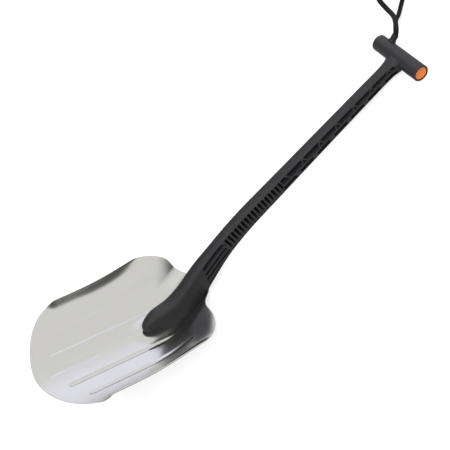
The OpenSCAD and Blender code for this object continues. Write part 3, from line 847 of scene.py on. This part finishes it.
class SHOVEL_OT_handle(bpy.types.Operator):
    """Builds the handle moulding: skin, seat, pockets and crossbar"""
    bl_idname = "shovel.handle"
    bl_label = "Handle"

    def execute(self, context):
        settings = context.scene.shovel_handle
        grip = context.scene.shovel_grip
        end = bar_s - grip_r + grip.sleeve + shaft_in
        bm = bmesh.new()
        bmesh.ops.create_grid(
            bm, x_segments=settings.rings, y_segments=settings.sides, size=1.0
        )
        for v in bm.verts:
            s = end * ring_at((v.co.x + 1) / 2)
            v.co = handle_point(s, math.pi * (v.co.y + 1))
        close_ends(bm, 10 * weld)
        handle = finish_piece(
            "handle_moulding", bm, glass_filled_nylon(settings), "handle"
        )
        carve(handle, seat_cutter(Sheet(context.scene.shovel_scoop)))
        carve(handle, pocket_cutters(settings))
        crossbar = bar(grip_r - grip.sleeve - fit_gap, grip_len / 2 - cap_inset - cap_t)
        carve(handle, crossbar, "UNION")
        mend_cuts(handle)
        return {"FINISHED"}


# ---- grip ----

edge_r = 1.5 * MM
bore_edge = 0.5 * MM
window_sides = 64
# The cap's face is sunk behind a narrow rim
face_r = 0.6 * MM
cap_rim = 1.6 * MM
rim_r = 0.3 * MM
rim_foot = 0.7 * MM
face_sunk = 0.5 * MM
# Wall of the crossbar around the cap's plug, and the plug's length
plug_wall = 2.4 * MM
plug_len = 8 * MM


class SHOVEL_OT_grip(bpy.types.Operator):
    """Builds the soft sleeve of the T grip, with the window for the shaft"""
    bl_idname = "shovel.grip"
    bl_label = "Grip sleeve"

    def execute(self, context):
        settings = context.scene.shovel_grip
        inner, half = grip_r - settings.sleeve, grip_len / 2
        profile = [(inner, bore_edge - half), (inner, half - bore_edge), (inner + bore_edge, half)]
        profile += arc(grip_r - edge_r, half - edge_r, edge_r, 90, 0)
        profile += arc(grip_r - edge_r, edge_r - half, edge_r, 0, -90)
        profile += [(inner + bore_edge, -half)]
        sleeve = finish_piece(
            "grip_sleeve_soft", turned(profile, 96),
            soft_rubber("soft-touch rubber", settings.rubber, 0.48), "grip_sleeve",
            matrix=LAY @ ACROSS,
        )
        window = bmesh.new()
        start = bar_s - 2 * grip_r
        half_w, above, below, _ = section_at(bar_s - grip_r)
        corners = []
        for k in range(window_sides):
            turn = 2 * math.pi * k / window_sides
            c, w = math.cos(turn), math.sin(turn)
            reach, power = above if w > 0 else below, power_at(bar_s, w)
            p = off_spine(start, bow(w, power) * (reach + fit_gap))
            p.y = bow(c, power) * (half_w + fit_gap)
            corners.append(window.verts.new(p))
        moved = extrude(window, [window.faces.new(corners)])
        bmesh.ops.translate(window, verts=moved, vec=bar_at - spine(start))
        bmesh.ops.recalc_face_normals(window, faces=window.faces)
        carve(sleeve, window)
        mend_cuts(sleeve)
        return {"FINISHED"}


class SHOVEL_OT_caps(bpy.types.Operator):
    """Builds the two end caps of the grip"""
    bl_idname = "shovel.caps"
    bl_label = "End caps"

    def execute(self, context):
        settings = context.scene.shovel_grip
        material = orange_abs(settings)
        disc_r = grip_r - settings.sleeve - fit_gap
        plug_r = disc_r - plug_wall - fit_gap
        face = grip_len / 2 - cap_inset
        base = face - cap_t
        inside = disc_r - cap_rim
        profile = [(0, base - plug_len), (plug_r, base - plug_len), (plug_r, base), (disc_r, base)]
        profile += arc(disc_r - face_r, face - face_r, face_r, 0, 90)
        profile += arc(inside + rim_r, face - rim_r, rim_r, 90, 180)
        profile += [(inside, face - face_sunk), (inside - rim_r, face - rim_foot)]
        profile += [(0, face - face_sunk)]
        for name, node, turn in (("near", "end_cap_near", 0), ("far", "end_cap_far", math.pi)):
            finish_piece(
                f"end_cap_{name}_disc", turned(profile), material, node,
                matrix=LAY @ ACROSS @ Matrix.Rotation(turn, 4, "X"),
            )
        return {"FINISHED"}


# ---- hand loop ----

ferrule_y = 33 * MM
ferrule_d = 14 * MM
ferrule_h = 12.3 * MM
ferrule_tilt = math.radians(34.4)
ferrule_waist = 3 * MM
ferrule_ribs = 3
# Depth of the stem and of the collar below the grip's skin, and the collar's top above it
stem_d = 7 * MM
stem_in = 5 * MM
collar_in = 3 * MM
collar_top = 1.4 * MM
collar_r = 0.6 * MM
ribs_from = 2 * MM
rib_in = 1.6 * MM
groove_end = 0.1 * MM
mouth_in = 0.5 * MM
# The ferrule's foot is cut to the grip's skin out to this distance from the grip's middle
foot_cut = 30 * MM
strap_in = 6 * MM
strap_gap = 0.3 * MM
strap_end_gap = 0.7 * MM
# Squareness of the webbing's section, and the faces around it
webbing_power = 6
webbing_sides = 12
# Height above the ground of the webbing that lies on it
lie_gap = 0.4 * MM
# Steps of the smooth line between two points of the route
route_steps = 8


def smooth_line(points, steps):
    """Smooth line through the points."""
    p = [points[0], *points, points[-1]]
    made = []
    for i in range(1, len(p) - 2):
        a, b, c, d = p[i - 1:i + 3]
        for k in range(steps):
            t = k / steps
            bend = 2 * a - 5 * b + 4 * c - d + t * (3 * (b - c) + d - a)
            made.append(b + 0.5 * t * (c - a + t * bend))
    return made + [p[-2]]


def loop_line(settings):
    """Middle of the webbing in the part's frame, from one end in the ferrule to the other."""
    axis = LAY.to_3x3() @ Matrix.Rotation(ferrule_tilt, 3, "Y")
    out_way, up_way = axis @ Vector((0, 0, 1)), axis @ Vector((-1, 0, 0))
    foot = LAY @ bar_at + Vector((0, ferrule_y, 0))
    wide, thick = settings.width, settings.thickness

    def at_mouth(out, y, up):
        """A place out from the ferrule's mouth and above its axis."""
        return foot + (grip_r + ferrule_h + out) * out_way + up * up_way + Vector((0, y, 0))

    def past_grip(x, y, rise=0.0):
        """A place on the ground past the grip, as shares of the loop's reach."""
        level = thick / 2 + lie_gap + rise * 2 * grip_r
        return Vector((foot.x + x * settings.reach, foot.y + y * settings.reach, level))

    side, start = thick / 2 + strap_gap / 3, strap_in - strap_end_gap
    return smooth_line([
        at_mouth(-start, 0, side), at_mouth(0.6 * MM, 0, side),
        at_mouth(wide, 0.9 * wide, -thick / 2),
        past_grip(0.34, 0.18, 0.64), past_grip(0.4, 0.36, 0.23), past_grip(0.43, 0.56, 0.03),
        past_grip(0.47, 0.77), past_grip(0.57, 0.99), past_grip(0.76, 1.12),
        past_grip(0.94, 1.06), past_grip(1, 0.86), past_grip(0.9, 0.65), past_grip(0.74, 0.52),
        past_grip(0.57, 0.4, 0.04), past_grip(0.44, 0.28, 0.26), past_grip(0.34, 0.18, 0.57),
        at_mouth(wide, 0.9 * wide, -1.6 * thick), at_mouth(0, 0, -side),
        at_mouth(-start, 0, -side),
    ], route_steps)


class SHOVEL_OT_ferrule(bpy.types.Operator):
    """Builds the ribbed ferrule of the hand loop"""
    bl_idname = "shovel.ferrule"
    bl_label = "Ferrule"

    def execute(self, context):
        settings = context.scene.shovel_grip
        r, top = ferrule_d / 2, grip_r + ferrule_h
        waist = r - ferrule_waist / 2
        profile = [(0, grip_r - stem_in), (stem_d / 2, grip_r - stem_in)]
        profile += [(stem_d / 2, grip_r - collar_in), (r, grip_r - collar_in)]
        profile += arc(r - collar_r, grip_r + collar_top, collar_r, 0, 90, 3)
        rib_h = (ferrule_h - ribs_from) / ferrule_ribs
        for k in range(ferrule_ribs):
            z = grip_r + ribs_from + (k + 0.5) * rib_h
            profile += [(waist, z - groove_end)]
            profile += arc(r - rib_in, z + rib_h / 4, rib_h / 4, -80, 80, 4)
        profile += [(waist - mouth_in, top), (0, top)]
        foot = Matrix.Translation(bar_at + Vector((0, ferrule_y, 0)))
        tilt = foot @ Matrix.Rotation(ferrule_tilt, 4, "Y")
        ferrule = finish_piece(
            "loop_ferrule_ribbed", turned(profile, 48),
            soft_rubber("black rubber", settings.ferrule, 0.5), "loop_ferrule",
            matrix=LAY @ tilt,
        )
        carve(ferrule, bar(grip_r + fit_gap, foot_cut))
        strap = context.scene.shovel_loop
        slot = bmesh.new()
        bmesh.ops.create_cube(slot, size=1.0)
        bmesh.ops.scale(slot, verts=slot.verts, vec=(
            2 * strap.thickness + 2 * strap_gap, strap.width + 2 * strap_gap, 2 * strap_in))
        bmesh.ops.translate(slot, verts=slot.verts, vec=(0, 0, top))
        carve(ferrule, slot, matrix=LAY @ tilt)
        mend_cuts(ferrule)
        return {"FINISHED"}


class SHOVEL_OT_loop(bpy.types.Operator):
    """Builds the webbing of the hand loop"""
    bl_idname = "shovel.loop"
    bl_label = "Hand loop"

    def execute(self, context):
        settings = context.scene.shovel_loop
        line = loop_line(settings)
        last = len(line) - 1
        lengths = [0.0]
        for a, b in zip(line, line[1:]):
            lengths.append(lengths[-1] + (b - a).length)
        half_w, half_t = settings.width / 2, settings.thickness / 2
        bm = bmesh.new()
        uv = bm.loops.layers.uv.new("weave")
        bmesh.ops.create_grid(bm, x_segments=last, y_segments=webbing_sides, size=1.0)
        for f in bm.faces:
            for loop in f.loops:
                i = round((loop.vert.co.x + 1) / 2 * last)
                turn = math.pi * (loop.vert.co.y + 1)
                loop[uv].uv = (math.cos(turn) * half_w / MM, lengths[i] / MM)
        for v in bm.verts:
            i = round((v.co.x + 1) / 2 * last)
            along = (line[min(i + 1, last)] - line[max(i - 1, 0)]).normalized()
            across = along.cross(Vector((0, 0, 1))).normalized()
            through = across.cross(along)
            turn = math.pi * (v.co.y + 1)
            v.co = line[i] + across * bow(math.cos(turn), webbing_power) * half_w
            v.co += through * bow(math.sin(turn), webbing_power) * half_t
        close_ends(bm)
        webbing = finish_piece(
            "hand_loop_webbing", bm, polyester_webbing(settings), "hand_loop",
            matrix=Matrix.Identity(4), sharp=50,
        )
        return {"FINISHED"}


# ---- screws ----

# Distance of the first screw behind the nose, and from each screw to the next
screw_first = 25 * MM
screw_pitch = 24 * MM
screw_count = 3
screw_d = 4.8 * MM
screw_head_d = 10 * MM
screw_head_h = 1.8 * MM
screw_len = 16 * MM
screw_tip = 2.4 * MM
screw_tip_r = 0.4 * MM
thread_pitch = 1.6 * MM
thread_depth = 0.5 * MM
thread_flat = 0.1 * MM
thread_turns = 8


def screw_profile():
    """Half section of a screw: head below, threads as rings, and a blunt tip."""
    crest, core = screw_d / 2 - thread_flat, screw_d / 2 - thread_depth
    profile = [(0, -screw_head_h)]
    profile += arc(screw_head_d / 2 - screw_head_h, 0, screw_head_h, -75, 0)
    profile += [(crest, 0)]
    for k in range(1, thread_turns + 1):
        z = k * thread_pitch
        profile += [(core, z), (core, z + thread_pitch / 2), (crest, z + 0.75 * thread_pitch)]
    profile += [(core, screw_len - screw_tip), (screw_tip_r, screw_len), (0, screw_len)]
    return profile


class SHOVEL_OT_screws(bpy.types.Operator):
    """Builds the three screws from under the scoop into the handle"""
    bl_idname = "shovel.screws"
    bl_label = "Screws"

    def execute(self, context):
        sheet = Sheet(context.scene.shovel_scoop)
        thickness = context.scene.shovel_scoop.sheet
        bm = bmesh.new()
        for k in range(screw_count):
            x = nose.x + screw_first + k * screw_pitch
            up = sheet.normal(x, 0)
            at = Vector((x, 0, sheet.z(x, 0))) - thickness * up
            part = turned(screw_profile(), 32)
            turn = Matrix.Rotation(math.atan2(up.x, up.z), 4, "Y")
            bmesh.ops.transform(part, matrix=Matrix.Translation(at) @ turn, verts=part.verts)
            mesh = bpy.data.meshes.new("screw")
            part.to_mesh(mesh)
            part.free()
            bm.from_mesh(mesh)
            bpy.data.meshes.remove(mesh)
        finish_piece("scoop_screws", bm, zinc_plate(), "screws")
        return {"FINISHED"}


# ---- stage ----

# The camera's place and directions in the shovel's level frame
camera_at = Vector((-0.30429, -1.20499, 1.41781))
camera_ahead = Vector((0.36485, 0.64519, -0.67128))
camera_right = Vector((0.85261, -0.52120, -0.03754))
floor_half = 6.0
floor_drop = 0.2 * MM
floor_glow = 0.7

# Panels around the shovel, each by its bearing and height in degrees, the angles from its
# middle where it is full and where it has faded out, and its radiance
panels = (
    (66, 13, 11, 24, (1.02, 1.02, 1.13)),
    (-138, 42, 6, 18, (0.98, 0.98, 0.95)),
    (150, 62, 5, 15, (0.60, 0.60, 0.57)),
    (-92, 14, 24, 38, (0.08, 0.08, 0.075)),
    (112, 26, 26, 40, (0.07, 0.07, 0.08)),
)
# Lamps, each by its name, power, width and length, place and the point that it faces
softboxes = (
    ("back softbox", 20, (1.6, 1.2), (0.7, 1.3, 1.5), (0.1, 0, 0)),
    ("top softbox", 26, (1.8, 1.4), (0.1, -1.0, 2.0), (0, 0, 0)),
)


def add_camera(context, lens):
    """Puts the camera where the level frame has it."""
    data = bpy.data.cameras.new("camera")
    data.sensor_width = 36
    data.lens = lens / MM
    data.clip_end = 20
    camera = bpy.data.objects.new("camera", data)
    context.collection.objects.link(camera)
    turn = LAY.to_3x3()
    right, ahead = turn @ camera_right, turn @ camera_ahead
    up = right.cross(ahead)
    facing = Matrix((right, up, -ahead)).transposed().to_4x4()
    camera.matrix_world = Matrix.Translation(LAY @ camera_at) @ facing
    context.scene.camera = camera


def add_softbox(name, energy, size, at, aim):
    """An area light that lights the shovel and is not seen in its reflections."""
    light = bpy.data.lights.new(name, "AREA")
    light.energy = energy
    light.shape = "RECTANGLE"
    light.size, light.size_y = size
    obj = bpy.data.objects.new(name, light)
    bpy.context.collection.objects.link(obj)
    obj.location = at
    obj.rotation_euler = (Vector(aim) - Vector(at)).to_track_quat("-Z", "Y").to_euler()
    obj.visible_glossy = False


def matte_paper(settings):
    """Matte paper: white where it is seen straight, while the metal shows it as it is lit."""
    material, tree, shader = new_material("matte paper")
    seen = add(tree, "ShaderNodeLightPath").outputs["Is Camera Ray"]
    glow = add(tree, "ShaderNodeMath", {"operation": "MULTIPLY"}, i0=seen, i1=floor_glow)
    shader.inputs["Base Color"].default_value = linear(settings.floor)
    shader.inputs["Roughness"].default_value = 0.9
    shader.inputs["Specular IOR Level"].default_value = 0.0
    shader.inputs["Emission Color"].default_value = (1, 1, 1, 1)
    tree.links.new(glow.outputs[0], shader.inputs["Emission Strength"])
    return material


def add_floor(settings):
    """The floor, just below the shovel so that the two never share a face."""
    bm = bmesh.new()
    bmesh.ops.create_grid(bm, x_segments=1, y_segments=1, size=floor_half)
    bmesh.ops.translate(bm, verts=bm.verts, vec=(0, 0, -floor_drop))
    floor = new_object("floor", bm)
    floor.data.materials.append(matte_paper(settings))


def studio_world(settings):
    """Soft light from all round, with a few panels that the polished scoop reflects."""
    world = bpy.data.worlds.new("studio")
    world.use_nodes = True
    tree = world.node_tree
    way = add(tree, "ShaderNodeTexCoord").outputs["Generated"]
    tint = linear(settings.backdrop)
    for bearing, height, full, faded, radiance in panels:
        a, b = math.radians(bearing), math.radians(height)
        axis = (math.cos(a) * math.cos(b), math.sin(a) * math.cos(b), math.sin(b))
        along = add(tree, "ShaderNodeVectorMath", {"operation": "DOT_PRODUCT"}, i0=way, i1=axis)
        share = add(
            tree, "ShaderNodeMapRange", {"interpolation_type": "SMOOTHSTEP"},
            i0=along.outputs["Value"],
            i1=math.cos(math.radians(faded)), i2=math.cos(math.radians(full)),
        )
        mixed = add(
            tree, "ShaderNodeMix", {"data_type": "RGBA"},
            i0=share.outputs[0], i6=tint, i7=(*radiance, 1),
        )
        tint = mixed.outputs[2]
    background = tree.nodes["Background"]
    tree.links.new(tint, background.inputs["Color"])
    background.inputs["Strength"].default_value = 1.0
    return world


class SHOVEL_OT_stage(bpy.types.Operator):
    """Sets the floor, the light and the camera"""
    bl_idname = "shovel.stage"
    bl_label = "Stage"

    def execute(self, context):
        settings = context.scene.shovel_stage
        add_camera(context, settings.lens)
        add_floor(settings)
        context.scene.world = studio_world(settings)
        for softbox in softboxes:
            add_softbox(*softbox)
        context.scene.view_settings.view_transform = "Standard"
        return {"FINISHED"}


class SHOVEL_PT_panel(bpy.types.Panel):
    """Lists the shovel's pieces in the sidebar"""
    bl_idname = "SHOVEL_PT_panel"
    bl_label = "Avalanche shovel"
    bl_space_type = "VIEW_3D"
    bl_region_type = "UI"
    bl_category = "Shovel"

    def draw(self, context):
        for group in GROUPS:
            box = self.layout.box()
            settings = getattr(context.scene, group)
            for name in settings.bl_rna.properties.keys():
                if name not in ("rna_type", "name"):
                    box.prop(settings, name)
        for operator in OPERATORS:
            self.layout.operator(operator.bl_idname)


GROUPS = {
    "shovel_scoop": ScoopSettings,
    "shovel_handle": HandleSettings,
    "shovel_grip": GripSettings,
    "shovel_loop": LoopSettings,
    "shovel_stage": StageSettings,
}
OPERATORS = (
    SHOVEL_OT_stage, SHOVEL_OT_ferrule, SHOVEL_OT_loop, SHOVEL_OT_scoop, SHOVEL_OT_handle,
    SHOVEL_OT_grip, SHOVEL_OT_caps, SHOVEL_OT_screws,
)


def register():
    for cls in (*GROUPS.values(), *OPERATORS, SHOVEL_PT_panel):
        bpy.utils.register_class(cls)
    for name, cls in GROUPS.items():
        setattr(bpy.types.Scene, name, PointerProperty(type=cls))


def unregister():
    for name in GROUPS:
        delattr(bpy.types.Scene, name)
    for cls in reversed((*GROUPS.values(), *OPERATORS, SHOVEL_PT_panel)):
        bpy.utils.unregister_class(cls)


def main():
    register()
    bpy.ops.shovel.stage()
    bpy.ops.shovel.ferrule()
    bpy.ops.shovel.loop()
    bpy.ops.shovel.scoop()
    bpy.ops.shovel.handle()
    bpy.ops.shovel.grip()
    bpy.ops.shovel.caps()
    bpy.ops.shovel.screws()


if __name__ == "__main__":
    main()
